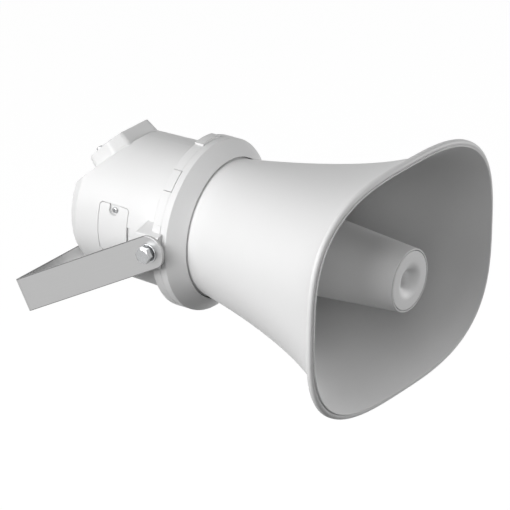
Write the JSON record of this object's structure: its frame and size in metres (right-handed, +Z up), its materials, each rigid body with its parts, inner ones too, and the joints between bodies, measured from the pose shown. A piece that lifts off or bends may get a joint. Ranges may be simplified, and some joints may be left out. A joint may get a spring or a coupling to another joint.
{
  "type": "pa horn speaker",
  "caption": "Reflex horn loudspeaker for public address: flared bell with a central reflector, round driver housing and a tilting U bracket.",
  "frame": {"origin": "centre of the middle hole in the bracket's base, on the face that meets the wall", "axes": "+Z up; the horn's axis is level and parallel to Y, the mouth faces -Y; +X is to the right of someone who looks into the mouth"},
  "size_m": [0.2804, 0.3546, 0.2128],
  "materials": {
    "abs_white": "satin",
    "abs_grey": "matte",
    "bracket_steel": "satin",
    "fastener_steel": "polished",
    "rubber_black": "matte",
    "brass_insert": "satin",
    "aluminium_cast": "satin",
    "magnet_steel": "satin",
    "ferrite": "matte",
    "phenolic": "matte",
    "diaphragm_film": "satin",
    "copper_wire": "satin",
    "core_steel": "satin",
    "board_laminate": "satin"
  },
  "bodies": {
    "bracket": {"mounting_bracket": "bracket_steel"},
    "horn": {"back_yoke": "magnet_steel", "bell_seal": "rubber_black", "board_screws": "fastener_steel", "collar_ring": "abs_white", "connection_board": "board_laminate", "connection_lid": "abs_white", "diaphragm_clamp": "phenolic", "driver_front_ring": "aluminium_cast", "driver_gasket": "rubber_black", "driver_housing": "abs_white", "driver_screws": "fastener_steel", "gland_body": "abs_grey", "gland_cap": "abs_grey", "gland_nut": "abs_grey", "gland_seal": "rubber_black", "horn_bell": "abs_white", "lid_gasket": "rubber_black", "lid_screws": "fastener_steel", "phase_plug": "phenolic", "pivot_bolts": "fastener_steel", "pivot_inserts": "brass_insert", "plain_washers": "fastener_steel", "reflector_cap": "abs_white", "reflector_cone": "abs_white", "reflector_spider": "abs_grey", "ring_magnet": "ferrite", "side_cover": "abs_white", "side_cover_gasket": "rubber_black", "side_cover_screw": "fastener_steel", "spring_washers": "fastener_steel", "terminal_block": "phenolic", "terminal_screws": "fastener_steel", "throat_horn": "abs_grey", "top_plate": "magnet_steel", "transformer_coil": "copper_wire", "transformer_core": "core_steel", "transformer_screws": "fastener_steel", "transformer_strap": "fastener_steel"},
    "moving_coil": {"diaphragm": "diaphragm_film", "voice_coil": "copper_wire"}
  },
  "joints": [
    {"name": "tilt", "type": "hinge", "parent": "bracket", "child": "horn", "pos_m": [0, -0.13752, 0.0778], "axis": [1, 0, 0], "range_deg": [-164, 105]},
    {"name": "diaphragm_drive", "type": "slide", "parent": "horn", "child": "moving_coil", "axis": [0, -1, 0], "range_m": [-0.0004, 0.0004], "stiffness_N_per_m": 2000}
  ]
}
